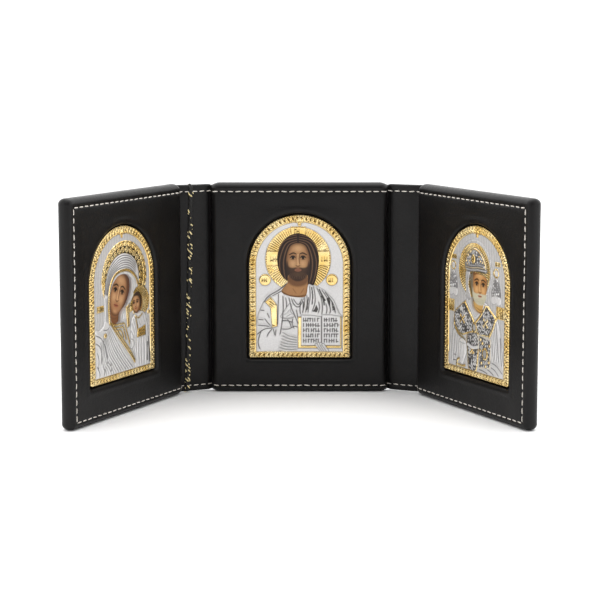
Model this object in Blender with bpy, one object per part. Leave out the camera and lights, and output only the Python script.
# Folding leather triptych with three stamped metal icon plates, standing open on its underside
import math

import bmesh
import bpy
from mathutils import Matrix, Vector

MM = 0.001

# Leather panels
PANEL_HEIGHT = 104.4 * MM
PANEL_THICKNESS = 7.3 * MM
PANEL_SIDE_ROUND = 3.2 * MM
PANEL_END_ROUND = 2.4 * MM
CENTRE_HINGE_X = 44.0 * MM
HINGE_DEPTH = 5.8 * MM
HINGE_TO_PANEL = 2.8 * MM
WING_LENGTH = 88.4 * MM

# Thin leather strips and the flanges they fold against
STRIP_WIDTH = 19.9 * MM
STRIP_THICKNESS = 2.2 * MM
STRIP_DOME = 0.4 * MM
STRIP_TOP_DROP = 1.1 * MM
STRIP_LIFT = 0.4 * MM
STRIP_END_ROUND = 0.8 * MM
HINGE_TO_FLANGE = 1.6 * MM
FLANGE_ROUND = 0.9 * MM
FLANGE_END_ROUND = 0.5 * MM
FLANGE_OVERLAP = 5.0 * MM

# Standing pose
STRIP_ANGLE = math.radians(22.7)
WING_ANGLE = math.radians(60.25)

# Icon plates
PLATE_WIDTH = 50.0 * MM
PLATE_HEIGHT = 71.15 * MM
PLATE_BOTTOM = 17.3 * MM
PLATE_MARGIN = 15.2 * MM
PLATE_SHEET = 0.7 * MM
PLATE_GAP = 1.3 * MM
TOUCH_GAP = 0.3 * MM
FIELD_DEPTH = 1.0 * MM
RELIEF_PEAK_DEPTH = 0.15 * MM
BORDER_WIDTH = 3.5 * MM
BORDER_BASE = 3.0 * MM
RECESS_LIP = 0.9 * MM
LIP_STEPS = 3
ARCH_STEPS = 14

# Painted boards behind the plates
BOARD_THICKNESS = 0.8 * MM
BOARD_INSET = 1.0 * MM

# Elastic cord round the left strip
CORD_RADIUS = 1.1 * MM
CORD_TOP_OFFSET = 11.4 * MM
CORD_BOTTOM_OFFSET = 12.6 * MM
CORD_FRONT_SINK = 0.4 * MM
CORD_BACK_SINK = 0.1 * MM
CORD_TOP_RISE = 0.65 * MM
CORD_FLOOR_GAP = 0.15 * MM
CORD_CORNER = 1.5 * MM

SHEET_BACK = FIELD_DEPTH + PLATE_SHEET
BOARD_FRONT = SHEET_BACK + TOUCH_GAP
RECESS_DEPTH = BOARD_FRONT + BOARD_THICKNESS + TOUCH_GAP
HINGE_Y = HINGE_DEPTH - PANEL_THICKNESS / 2
FRONT_Y = -PANEL_THICKNESS / 2
WING_HINGE_X = CENTRE_HINGE_X + STRIP_WIDTH
WING_PLATE_X = WING_HINGE_X + WING_LENGTH - PLATE_MARGIN - PLATE_WIDTH / 2

for old in list(bpy.data.objects):
    bpy.data.objects.remove(old, do_unlink=True)

part = bpy.data.collections.new("leather_triptych")
tools = bpy.data.collections.new("cutters")
bpy.context.scene.collection.children.link(part)
bpy.context.scene.collection.children.link(tools)


def material(name, colour, metallic, roughness):
    made = bpy.data.materials.new(name)
    made.use_nodes = True
    shader = made.node_tree.nodes["Principled BSDF"]
    shader.inputs["Base Color"].default_value = (*colour, 1.0)
    shader.inputs["Metallic"].default_value = metallic
    shader.inputs["Roughness"].default_value = roughness
    return made


def add(name, bm, where, surface=None):
    bmesh.ops.recalc_face_normals(bm, faces=bm.faces)
    mesh = bpy.data.meshes.new(name)
    bm.to_mesh(mesh)
    bm.free()
    made = bpy.data.objects.new(name, mesh)
    where.objects.link(made)
    if surface:
        mesh.materials.append(surface)
    return made


def group(name):
    made = bpy.data.collections.new(name)
    tools.children.link(made)
    return made


def hide(made):
    made.hide_render = True
    made.display_type = 'WIRE'
    return made


def combine(target, operands, operation):
    step = target.modifiers.new(operation.lower(), 'BOOLEAN')
    step.operation = operation
    step.solver = 'EXACT'
    step.operand_type = 'COLLECTION'
    step.collection = operands


# Closed bar with a rounded plan section; the ends of the bar get their own rounding
def rounded_bar(low, high, side_round, end_round, side_steps=4, end_steps=3):
    bm = bmesh.new()
    bmesh.ops.create_cube(bm, size=1.0)
    size = Vector(high) - Vector(low)
    middle = (Vector(high) + Vector(low)) / 2
    bmesh.ops.scale(bm, vec=size, verts=bm.verts)
    bmesh.ops.translate(bm, vec=middle, verts=bm.verts)
    upright = [e for e in bm.edges if abs(e.verts[0].co.z - e.verts[1].co.z) > size.z / 2]
    bmesh.ops.bevel(bm, geom=upright, offset=side_round, segments=side_steps, profile=0.5, affect='EDGES')
    ends = [e for e in bm.edges
            if abs(e.verts[0].co.z - e.verts[1].co.z) < size.z / 1000
            and min(abs(e.verts[0].co.z - low[2]), abs(e.verts[0].co.z - high[2])) < size.z / 1000]
    bmesh.ops.bevel(bm, geom=ends, offset=end_round, segments=end_steps, profile=0.5, affect='EDGES')
    return bm


# Solid between rings of points that all have the same count
def loft(rings):
    bm = bmesh.new()
    rows = [[bm.verts.new(p) for p in ring] for ring in rings]
    count = len(rows[0])
    for first, second in zip(rows, rows[1:]):
        for i in range(count):
            j = (i + 1) % count
            bm.faces.new((first[i], first[j], second[j], second[i]))
    bm.faces.new(rows[0][::-1])
    bm.faces.new(rows[-1])
    return bm


# Arched outline of a plate, grown outwards by a margin; points run anticlockwise seen from the front
def arch(grow, base_grow=None, steps=ARCH_STEPS):
    base_grow = grow if base_grow is None else base_grow
    radius = PLATE_WIDTH / 2 + grow
    spring = PLATE_HEIGHT - PLATE_WIDTH / 2
    points = [(-radius, -base_grow), (radius, -base_grow)]
    for i in range(steps + 1):
        turn = math.pi * i / steps
        points.append((radius * math.cos(turn), spring + radius * math.sin(turn)))
    return points


def ellipse(centre_x, centre_z, radius_x, radius_z, steps=20, tilt=0.0):
    points = []
    for i in range(steps):
        turn = 2 * math.pi * i / steps
        x = radius_x * math.cos(turn)
        z = radius_z * math.sin(turn)
        points.append((centre_x + x * math.cos(tilt) - z * math.sin(tilt),
                       centre_z + x * math.sin(tilt) + z * math.cos(tilt)))
    return points


def box(left, bottom, right, top):
    return [(left, bottom), (right, bottom), (right, top), (left, top)]


# Smooth curve through a few guide points
def smooth(guides, between, closed):
    count = len(guides)
    spans = count if closed else count - 1
    points = []
    for i in range(spans):
        if closed:
            p = [guides[(i + k) % count] for k in (-1, 0, 1, 2)]
        else:
            p = [guides[min(max(i + k, 0), count - 1)] for k in (-1, 0, 1, 2)]
        for step in range(between):
            t = step / between
            points.append(tuple(
                0.5 * (2 * p[1][n] + (p[2][n] - p[0][n]) * t
                       + (2 * p[0][n] - 5 * p[1][n] + 4 * p[2][n] - p[3][n]) * t * t
                       + (3 * p[1][n] - p[0][n] - 3 * p[2][n] + p[3][n]) * t ** 3)
                for n in range(2)))
    if not closed:
        points.append(tuple(guides[-1]))
    return points


# Tapering band between two points
def ribbon(start, end, half_start, half_end):
    length = math.hypot(end[0] - start[0], end[1] - start[1])
    across = (-(end[1] - start[1]) / length, (end[0] - start[0]) / length)
    return [(start[0] + across[0] * half_start, start[1] + across[1] * half_start),
            (start[0] - across[0] * half_start, start[1] - across[1] * half_start),
            (end[0] - across[0] * half_end, end[1] - across[1] * half_end),
            (end[0] + across[0] * half_end, end[1] + across[1] * half_end)]


def in_mm(points):
    return [(x * MM, z * MM) for x, z in points]


# Plate coordinates: x across from the plate's middle, z up from its foot, depth behind the panel's front
def on_plate(points, plate_x, depth):
    return [(plate_x + x, FRONT_Y + depth, PLATE_BOTTOM + z) for x, z in points]


# Raised layer of the relief with a softened upper edge
def layer(name, points, plate_x, top_depth, edge, where, start_depth=None):
    start = FIELD_DEPTH + PLATE_SHEET / 2 if start_depth is None else start_depth
    bm = bmesh.new()
    face = bm.faces.new([bm.verts.new(p) for p in on_plate(points, plate_x, start)])
    grown = bmesh.ops.extrude_face_region(bm, geom=[face])
    moved = [g for g in grown["geom"] if isinstance(g, bmesh.types.BMVert)]
    bmesh.ops.translate(bm, vec=(0, top_depth - start, 0), verts=moved)
    if edge:
        rim = [e for e in bm.edges if all(v in moved for v in e.verts)]
        bmesh.ops.bevel(bm, geom=rim, offset=edge, segments=1, profile=0.5, affect='EDGES')
    return hide(add(name, bm, where))


# Raised ridge along an open line on the plate
def ridge(name, points, plate_x, radius, where, depth=FIELD_DEPTH, sides=0):
    curve = bpy.data.curves.new(name, 'CURVE')
    curve.dimensions = '3D'
    curve.bevel_depth = radius
    curve.bevel_resolution = sides
    curve.use_fill_caps = True
    spline = curve.splines.new('POLY')
    line = on_plate(points, plate_x, depth)
    spline.points.add(len(line) - 1)
    for point, place in zip(spline.points, line):
        point.co = (*place, 1.0)
    spline.use_cyclic_u = False
    maker = bpy.data.objects.new(name + "_line", curve)
    tools.objects.link(maker)
    mesh = bpy.data.meshes.new_from_object(maker)
    bpy.data.objects.remove(maker, do_unlink=True)
    bm = bmesh.new()
    bm.from_mesh(mesh)
    bmesh.ops.remove_doubles(bm, verts=bm.verts, dist=0.00001)
    return hide(add(name, bm, where))


def ring(name, centre, inner, outer, plate_x, top_depth, where, steps=28):
    middle = (inner + outer) / 2
    half = (outer - inner) / 2
    rise = FIELD_DEPTH - top_depth
    bm = bmesh.new()
    rows = []
    section = ((-1, -PLATE_SHEET / 2), (-1, 0), (-0.6, rise), (0.6, rise), (1, 0), (1, -PLATE_SHEET / 2))
    for i in range(steps):
        turn = 2 * math.pi * i / steps
        row = []
        for across, up in section:
            reach = middle + half * across
            row.append(bm.verts.new((plate_x + centre[0] + reach * math.cos(turn),
                                     FRONT_Y + FIELD_DEPTH - up,
                                     PLATE_BOTTOM + centre[1] + reach * math.sin(turn))))
        rows.append(row)
    for i in range(steps):
        first, second = rows[i], rows[(i + 1) % steps]
        for j in range(len(section)):
            k = (j + 1) % len(section)
            bm.faces.new((first[j], first[k], second[k], second[j]))
    return hide(add(name, bm, where))


# Turn a wing's or strip's pieces from the flat position to the standing pose
def folding(side, wing):
    axis = 'Z'
    first = Vector((side * CENTRE_HINGE_X, HINGE_Y, 0))
    second = Vector((side * WING_HINGE_X, HINGE_Y, 0))
    turn = (Matrix.Translation(first) @ Matrix.Rotation(-side * STRIP_ANGLE, 4, axis)
            @ Matrix.Translation(-first))
    if wing:
        turn = turn @ (Matrix.Translation(second)
                       @ Matrix.Rotation(-side * (WING_ANGLE - STRIP_ANGLE), 4, axis)
                       @ Matrix.Translation(-second))
    return turn


def fold(objects, side, wing=True):
    turn = folding(side, wing)
    for each in objects:
        each.data.transform(turn)


leather = material("black_leather", (0.03, 0.028, 0.028), 0.0, 0.5)
stamped = material("silver_gilt", (0.83, 0.78, 0.66), 1.0, 0.35)
painted = material("painted_board", (0.36, 0.22, 0.13), 0.0, 0.45)
elastic = material("elastic_cord", (0.05, 0.045, 0.03), 0.0, 0.6)


# Leather-covered board with its arched recess and the thin flanges towards the strips
def panel(name, left, right, plate_x, flanges):
    low = (left, FRONT_Y, 0.0)
    high = (right, FRONT_Y + PANEL_THICKNESS, PANEL_HEIGHT)
    body = add(name, rounded_bar(low, high, PANEL_SIDE_ROUND, PANEL_END_ROUND, 5, 4), part, leather)
    if flanges:
        joined = group(name + "_flanges")
        for index, (start, end) in enumerate(flanges):
            bar = rounded_bar((start, HINGE_Y - STRIP_THICKNESS / 2, STRIP_LIFT),
                              (end, HINGE_Y + STRIP_THICKNESS / 2, PANEL_HEIGHT - STRIP_TOP_DROP),
                              FLANGE_ROUND, FLANGE_END_ROUND, 3, 2)
            hide(add(name + "_flange" + str(index), bar, joined))
        combine(body, joined, 'UNION')
    rings = [on_plate(arch(PLATE_GAP), plate_x, RECESS_DEPTH)]
    for step in range(LIP_STEPS + 1):
        turn = math.pi / 2 * step / LIP_STEPS
        spread = RECESS_LIP * (1 - math.cos(turn))
        depth = RECESS_LIP * (1 - math.sin(turn))
        rings.append(on_plate(arch(PLATE_GAP + spread), plate_x, depth))
    rings.append(on_plate(arch(PLATE_GAP + RECESS_LIP), plate_x, -PANEL_THICKNESS / 2))
    cut = group(name + "_recess")
    recess = hide(add(name + "_recess_form", loft(rings), cut))
    combine(body, cut, 'DIFFERENCE')
    return body, recess


def strip(name, side):
    near = side * CENTRE_HINGE_X
    half = STRIP_THICKNESS / 2
    steps = 10
    outline = []
    for i in range(steps + 1):
        along = i / steps
        bulge = STRIP_DOME * (1 - (2 * along - 1) ** 2) ** 2
        outline.append((near + side * STRIP_WIDTH * along, HINGE_Y - half - bulge))
    end_steps = 4
    for i in range(1, end_steps):
        turn = math.pi * i / end_steps
        outline.append((near + side * (STRIP_WIDTH + half * math.sin(turn)), HINGE_Y - half * math.cos(turn)))
    outline.append((near + side * STRIP_WIDTH, HINGE_Y + half))
    outline.append((near, HINGE_Y + half))
    for i in range(1, end_steps):
        turn = math.pi * i / end_steps
        outline.append((near - side * half * math.sin(turn), HINGE_Y + half * math.cos(turn)))
    middle_x = near + side * STRIP_WIDTH / 2
    rings = []
    levels = ((STRIP_LIFT, STRIP_END_ROUND), (STRIP_LIFT + STRIP_END_ROUND * 0.3, STRIP_END_ROUND * 0.3),
              (STRIP_LIFT + STRIP_END_ROUND, 0.0))
    top = PANEL_HEIGHT - STRIP_TOP_DROP
    heights = [(z, inset) for z, inset in levels]
    heights += [(top + STRIP_LIFT - z, inset) for z, inset in reversed(levels)]
    for z, inset in heights:
        thin = 1 - inset / (half + STRIP_DOME / 2)
        narrow = 1 - inset / (STRIP_WIDTH / 2 + half)
        rings.append([(middle_x + (x - middle_x) * narrow, HINGE_Y + (y - HINGE_Y) * thin, z)
                      for x, y in outline])
    return add(name, loft(rings), part, leather)


# Centre line of the cord's loop in the flat position of the left strip
def cord_path():
    top = PANEL_HEIGHT - STRIP_TOP_DROP + CORD_TOP_RISE - CORD_RADIUS
    bottom = CORD_FLOOR_GAP + CORD_RADIUS
    front = HINGE_Y - STRIP_THICKNESS / 2 - CORD_RADIUS + CORD_FRONT_SINK
    back = HINGE_Y + STRIP_THICKNESS / 2 + CORD_RADIUS - CORD_BACK_SINK
    corners = ((front, top, -1, 1), (front, bottom, -1, -1), (back, bottom, 1, -1), (back, top, 1, 1))
    turns = ((90, 180), (180, 270), (270, 360), (0, 90))
    points = []
    bend_steps = 5
    for (y, z, out_y, out_z), (start, end) in zip(corners, turns):
        for i in range(bend_steps + 1):
            turn = math.radians(start + (end - start) * i / bend_steps)
            place_y = y - out_y * CORD_CORNER + CORD_CORNER * math.cos(turn)
            place_z = z - out_z * CORD_CORNER + CORD_CORNER * math.sin(turn)
            along = (top - place_z) / (top - bottom)
            offset = CORD_TOP_OFFSET + (CORD_BOTTOM_OFFSET - CORD_TOP_OFFSET) * along
            points.append((-CENTRE_HINGE_X - offset, place_y, place_z))
    return points


def cord_tube(name, radius, where, sides, surface=None):
    curve = bpy.data.curves.new(name, 'CURVE')
    curve.dimensions = '3D'
    curve.bevel_depth = radius
    curve.bevel_resolution = sides
    line = cord_path()
    spline = curve.splines.new('POLY')
    spline.points.add(len(line) - 1)
    for point, place in zip(spline.points, line):
        point.co = (*place, 1.0)
    spline.use_cyclic_u = True
    maker = bpy.data.objects.new(name + "_line", curve)
    tools.objects.link(maker)
    mesh = bpy.data.meshes.new_from_object(maker)
    bpy.data.objects.remove(maker, do_unlink=True)
    bm = bmesh.new()
    bm.from_mesh(mesh)
    bmesh.ops.remove_doubles(bm, verts=bm.verts, dist=0.00001)
    return add(name, bm, where, surface)


# Stamped sheet: flat field, raised rounded border, then the figure's own layers
def plate(name, plate_x, relief, openings):
    sheet = [on_plate(arch(0), plate_x, SHEET_BACK), on_plate(arch(0), plate_x, FIELD_DEPTH)]
    made = add(name, loft(sheet), part, stamped)
    raised = group(name + "_relief")
    rim_top = RELIEF_PEAK_DEPTH + 0.15 * MM
    rings = [on_plate(arch(0), plate_x, FIELD_DEPTH + PLATE_SHEET / 2), on_plate(arch(0), plate_x, FIELD_DEPTH - 0.2 * MM),
             on_plate(arch(-0.6 * MM), plate_x, rim_top), on_plate(arch(-BORDER_WIDTH + 0.8 * MM, -BORDER_BASE + 0.8 * MM), plate_x, rim_top),
             on_plate(arch(-BORDER_WIDTH, -BORDER_BASE), plate_x, FIELD_DEPTH),
             on_plate(arch(-BORDER_WIDTH, -BORDER_BASE), plate_x, FIELD_DEPTH + PLATE_SHEET / 2)]
    bm = bmesh.new()
    rows = [[bm.verts.new(p) for p in row] for row in rings]
    count = len(rows[0])
    for index in range(len(rows)):
        first, second = rows[index], rows[(index + 1) % len(rows)]
        for i in range(count):
            j = (i + 1) % count
            bm.faces.new((first[i], first[j], second[j], second[i]))
    hide(add(name + "_border", bm, raised))
    relief(plate_x, raised)
    combine(made, raised, 'UNION')
    cuts = group(name + "_openings")
    for index, points in enumerate(openings):
        bm = loft([on_plate(points, plate_x, SHEET_BACK + 1 * MM), on_plate(points, plate_x, -1 * MM)])
        hide(add(name + "_opening" + str(index), bm, cuts))
    combine(made, cuts, 'DIFFERENCE')
    return made


def board(name, plate_x):
    rings = [on_plate(arch(-BOARD_INSET), plate_x, BOARD_FRONT + BOARD_THICKNESS),
             on_plate(arch(-BOARD_INSET), plate_x, BOARD_FRONT)]
    return add(name, loft(rings), part, painted)


def depth_of(rise):
    return FIELD_DEPTH - rise * MM


def crown_boss(plate_x, where):
    top = PLATE_HEIGHT - BORDER_WIDTH
    layer("crown_boss", ellipse(0, top, 2.2 * MM, 1.7 * MM, 10), plate_x, depth_of(0.75), 0.3 * MM, where)


# Blessing figure: bust with a book, halo and two small medallions
HALO_MIDDLE = (-0.7 * MM, 49.2 * MM)


def centre_relief(plate_x, where):
    crown_boss(plate_x, where)
    ring("halo", HALO_MIDDLE, 9.0 * MM, 16.0 * MM, plate_x, depth_of(0.45), where)
    for side in (-1, 1):
        layer("medallion", ellipse(16.5 * side * MM, 39 * MM, 2.8 * MM, 2.8 * MM, 14), plate_x, depth_of(0.4),
              0.2 * MM, where)
    bust = smooth([(-21.3, 3.2), (-21.2, 16), (-17.6, 28), (-8, 36.6), (-3, 37), (3, 36.6), (9, 35), (17, 28.5),
                   (20.5, 20), (21, 3.2)], 3, False)
    layer("bust", in_mm(bust), plate_x, depth_of(0.4), 0.25 * MM, where)
    arm = smooth([(-14, 4), (-16, 12), (-11, 19), (-7.5, 25), (-4.5, 26), (-4, 21), (-1.5, 15), (-3, 8), (-8, 3.6)],
                 2, True)
    layer("raised_arm", in_mm(arm), plate_x, depth_of(0.62), 0.25 * MM, where)
    layer("stole", in_mm([(-13.6, 15.2), (-11, 15.5), (-11.2, 26.5), (-14.2, 30.2), (-17, 28), (-14.2, 25)]), plate_x,
          depth_of(0.72), 0.15 * MM, where)
    for index in range(2):
        left = (0.8 + 10.4 * index) * MM
        layer("page", box(left, 5.8 * MM, left + 10.0 * MM, 20.9 * MM), plate_x, depth_of(0.7), 0.3 * MM, where)
    layer("book_cover", box(-0.4 * MM, 5.0 * MM, 21.0 * MM, 20.6 * MM), plate_x, depth_of(0.5), 0.15 * MM, where)
    for row in range(5):
        for index in range(2):
            left = (2.0 + 10.4 * index) * MM
            z = (8.4 + 2.6 * row) * MM
            ridge("stroke_row", [(left, z), (left + 7.6 * MM, z)], plate_x, 0.3 * MM, where, depth_of(0.52))
    folds = 5
    for index in range(folds):
        across = index / (folds - 1)
        start = (5.0 + 9.5 * across, 35.2 - 5.2 * across ** 1.5)
        end = (3.5 + 15.5 * across, 22.0)
        middle = ((start[0] + end[0]) / 2 + 1.2, (start[1] + end[1]) / 2 + 0.6)
        line = smooth([start, middle, end], 3, False)
        ridge("shoulder_fold", in_mm(line), plate_x, 0.42 * MM, where, depth_of(0.36))
    for index in range(5):
        z = 12.6 - 2.1 * index
        line = smooth([(-8.4 - 0.4 * index, z + 0.6), (-5, z), (-1.4, z - 1.6)], 2, False)
        ridge("sleeve_fold", in_mm(line), plate_x, 0.4 * MM, where, depth_of(0.42))
    for index in range(4):
        line = smooth([(-4.6 + 2.6 * index, 30.5), (-3.6 + 1.9 * index, 26), (-2.4 + 1.3 * index, 21.6)], 2, False)
        ridge("chest_fold", in_mm(line), plate_x, 0.32 * MM, where, depth_of(0.38))


CENTRE_OPENING = in_mm(smooth([(-0.7, 62.0), (-7.6, 58.8), (-11.0, 51), (-9.6, 43), (-5.8, 38.2), (-8.6, 34),
                               (-5.4, 31), (-1, 30.3), (3, 31), (4.4, 36.4), (7.4, 37.4), (9.2, 44), (9.7, 51),
                               (6.2, 58.8)], 3, True))


# Veiled mother with the child on her arm
def mother_relief(plate_x, where):
    crown_boss(plate_x, where)
    ring("halo", (1.4 * MM, 46.9 * MM), 10.5 * MM, 17.4 * MM, plate_x, depth_of(0.45), where)
    veil = smooth([(-13.6, 24), (-13.8, 38), (-12.2, 49), (-6, 56.2), (2, 58), (9.4, 54.6), (12.6, 46), (10.6, 39),
                   (4.4, 33.2), (3.6, 24)], 3, True)
    layer("veil", in_mm(veil), plate_x, depth_of(0.55), 0.3 * MM, where)
    mantle = smooth([(-21.3, 3.2), (-21.3, 16), (-20.4, 23), (-13.8, 26.6), (-6, 28), (0, 25), (5, 17), (9.4, 7),
                     (9.6, 3.2)], 3, False)
    layer("mantle", in_mm(mantle), plate_x, depth_of(0.45), 0.3 * MM, where)
    ridge("mantle_trim", in_mm(smooth([(-9.6, 26.4), (-3, 19.4), (4, 12.6), (8.8, 5.6)], 3, False)), plate_x,
          0.65 * MM, where, depth_of(0.15), 1)
    layer("star", ellipse(-14.2 * MM, 22 * MM, 1.3 * MM, 1.3 * MM, 8), plate_x, depth_of(0.65), 0.15 * MM, where)
    ring("child_halo", (13.6 * MM, 34.2 * MM), 4.6 * MM, 7.4 * MM, plate_x, depth_of(0.5), where, 20)
    child = smooth([(10.2, 3.2), (9.6, 14), (5.4, 13), (5.2, 22), (8.6, 28.6), (12, 29.6), (16.4, 28), (20.2, 22),
                    (21, 12), (21, 3.2)], 3, False)
    layer("child", in_mm(child), plate_x, depth_of(0.6), 0.3 * MM, where)
    layer("child_sash", in_mm(box(10.6, 17.4, 17.4, 22)), plate_x, depth_of(0.75), 0.15 * MM, where)
    folds = 7
    for index in range(folds):
        across = index / (folds - 1)
        start = (-15.0 + 2.2 * across, 20.4 + 3.4 * across)
        end = (-19.4 + 25.0 * across, 4.4)
        middle = ((start[0] + end[0]) / 2 + 0.6, (start[1] + end[1]) / 2 + 1.8 * across)
        ridge("mantle_fold", in_mm(smooth([start, middle, end], 3, False)), plate_x, 0.42 * MM, where, depth_of(0.42))
    for index in range(4):
        x = 11.2 + 1.9 * index
        ridge("robe_fold", in_mm([(x, 16.4), (x - 0.2, 10), (x, 4.2)]), plate_x, 0.4 * MM, where, depth_of(0.42))
    for index in range(4):
        shift = 2.4 * index
        line = smooth([(-10.4 + shift, 50.8 - 0.2 * shift), (-3 + shift * 0.8, 54.4 - shift), (6.6, 54.6 - shift)], 3,
                      False)
        ridge("veil_fold", in_mm(line), plate_x, 0.36 * MM, where, depth_of(0.46))


MOTHER_OPENING = in_mm(smooth([(2.2, 48.6), (-4, 48.2), (-8.6, 44), (-10.4, 37), (-9.6, 31), (-9, 27.2), (-3, 26.6),
                               (-1.6, 30.6), (3.2, 34.6), (6.4, 40.6), (6, 46)], 3, True))
CHILD_OPENING = in_mm(ellipse(11.6, 34.0, 4.1, 5.3, 20, 0.1))


# Bishop with mitre, crossed bands and a closed book
def bishop_relief(plate_x, where):
    crown_boss(plate_x, where)
    ring("halo", (-3.8 * MM, 50.2 * MM), 8.3 * MM, 13.3 * MM, plate_x, depth_of(0.47), where, 30)
    ring("halo_rim", (-3.8 * MM, 50.2 * MM), 13.0 * MM, 14.4 * MM, plate_x, depth_of(0.35), where)
    mitre = smooth([(-9.6, 48.8), (-11.4, 53), (-10.6, 57.4), (-6, 60), (-3, 60.6), (1, 60.2), (5.4, 57.2), (6.6, 52.6),
                    (5.4, 49.2), (-1, 50.2)], 3, True)
    layer("mitre", in_mm(mitre), plate_x, depth_of(0.7), 0.3 * MM, where)
    bust = smooth([(-21.3, 3.2), (-21, 16), (-20, 27), (-14, 32.6), (-8, 35.8), (-3, 36), (2, 36), (6.6, 35.4),
                   (13.6, 29.4), (18.6, 18), (21, 8), (21.2, 3.2)], 3, False)
    layer("bust", in_mm(bust), plate_x, depth_of(0.4), 0.3 * MM, where)
    for start, end in (((-15.6, 30.0), (-4.6, 21.6)), ((10.6, 30.8), (0.6, 22.2))):
        layer("shoulder_band", in_mm(ribbon(start, end, 4.4, 2.8)), plate_x, depth_of(0.62), 0.2 * MM, where)
    layer("hanging_band", in_mm([(-7.0, 3.4), (-0.8, 3.4), (0.6, 21), (-3, 23.4), (-7.6, 20)]), plate_x, depth_of(0.7),
          0.2 * MM, where)
    ridge("collar_left", in_mm(smooth([(-10.8, 34.6), (-6.6, 29.4), (-2.6, 25.6)], 3, False)), plate_x, 0.65 * MM, where,
          depth_of(0.15), 1)
    ridge("collar_right", in_mm(smooth([(6.2, 34.4), (2.6, 29.4), (-2.2, 25.6)], 3, False)), plate_x, 0.65 * MM, where,
          depth_of(0.15), 1)
    layer("book", in_mm([(0.8, 5.0), (10.4, 6.8), (10.6, 20.4), (1.2, 20.8)]), plate_x, depth_of(0.82), 0.25 * MM, where)
    layer("book_medallion", ellipse(6.6 * MM, 12 * MM, 2.4 * MM, 3.2 * MM, 12), plate_x, depth_of(0.84), 0, where)
    hand = smooth([(-15, 6), (-15.4, 12), (-13.4, 16.2), (-10.6, 16), (-9.2, 11), (-10.6, 5.6)], 2, True)
    layer("blessing_hand", in_mm(hand), plate_x, depth_of(0.72), 0.25 * MM, where)
    for left in (-21.4, 14.4):
        layer("label", in_mm(box(left, 29.4, left + (1.8 if left < 0 else 6.0), 34.8)), plate_x, depth_of(0.3), 0.1 * MM, where)
    for middle in (-19.4, 13.8):
        layer("cloud", ellipse(middle * MM, 38.6 * MM, (2.2 if middle < 0 else 4.0) * MM, 1.9 * MM, 12), plate_x,
              depth_of(0.4), 0.2 * MM, where)
        layer("small_figure", ellipse(middle * MM, 44.6 * MM, 1.9 * MM, 4.2 * MM, 12), plate_x, depth_of(0.45),
              0.25 * MM, where)
    for index in range(6):
        across = index / 5
        start = (11.6 + 4.0 * across, 27.6 - 3.0 * across)
        end = (12.2 + 8.0 * across, 4.6 + 4 * across)
        ridge("vestment_fold", in_mm(smooth([start, ((start[0] + end[0]) / 2 + 0.9, 16), end], 3, False)), plate_x,
              0.42 * MM, where, depth_of(0.38))


BISHOP_OPENING = in_mm(smooth([(-0.6, 49.3), (-5.9, 48.2), (-6.8, 43.6), (-5, 37.6), (-3.6, 32.4), (-0.2, 30.6), (3.2, 31.2),
                               (4.8, 36), (6.6, 41), (6.9, 47), (5, 49.2)], 3, True))

inner = CENTRE_HINGE_X - HINGE_TO_PANEL
tip = CENTRE_HINGE_X - HINGE_TO_FLANGE
centre_body, centre_recess = panel(
    "centre_panel", -inner, inner, 0.0,
    [(-tip, -inner + FLANGE_OVERLAP), (inner - FLANGE_OVERLAP, tip)])
plate("centre_icon_plate", 0.0, centre_relief, [CENTRE_OPENING])
board("centre_icon_painting", 0.0)

wing_inner = WING_HINGE_X + HINGE_TO_PANEL
wing_tip = WING_HINGE_X + HINGE_TO_FLANGE
wing_outer = WING_HINGE_X + WING_LENGTH
for side, word, relief, openings in ((-1, "left", mother_relief, [MOTHER_OPENING, CHILD_OPENING]),
                                     (1, "right", bishop_relief, [BISHOP_OPENING])):
    before = set(bpy.data.objects)
    ends = sorted((side * wing_inner, side * wing_outer))
    flange = tuple(sorted((side * wing_tip, side * (wing_inner + FLANGE_OVERLAP))))
    panel(word + "_wing_panel", ends[0], ends[1], side * WING_PLATE_X, [flange])
    plate(word + "_icon_plate", side * WING_PLATE_X, relief, openings)
    board(word + "_icon_painting", side * WING_PLATE_X)
    fold([each for each in bpy.data.objects if each not in before], side)
    band = strip(word + "_spine", side)
    pieces = [band]
    if side < 0:
        notch = group("left_spine_notch")
        pieces.append(hide(cord_tube("cord_clearance", CORD_RADIUS + TOUCH_GAP, notch, 3)))
        combine(band, notch, 'DIFFERENCE')
        pieces.append(cord_tube("elastic_cord", CORD_RADIUS, part, 3, elastic))
    fold(pieces, side, False)
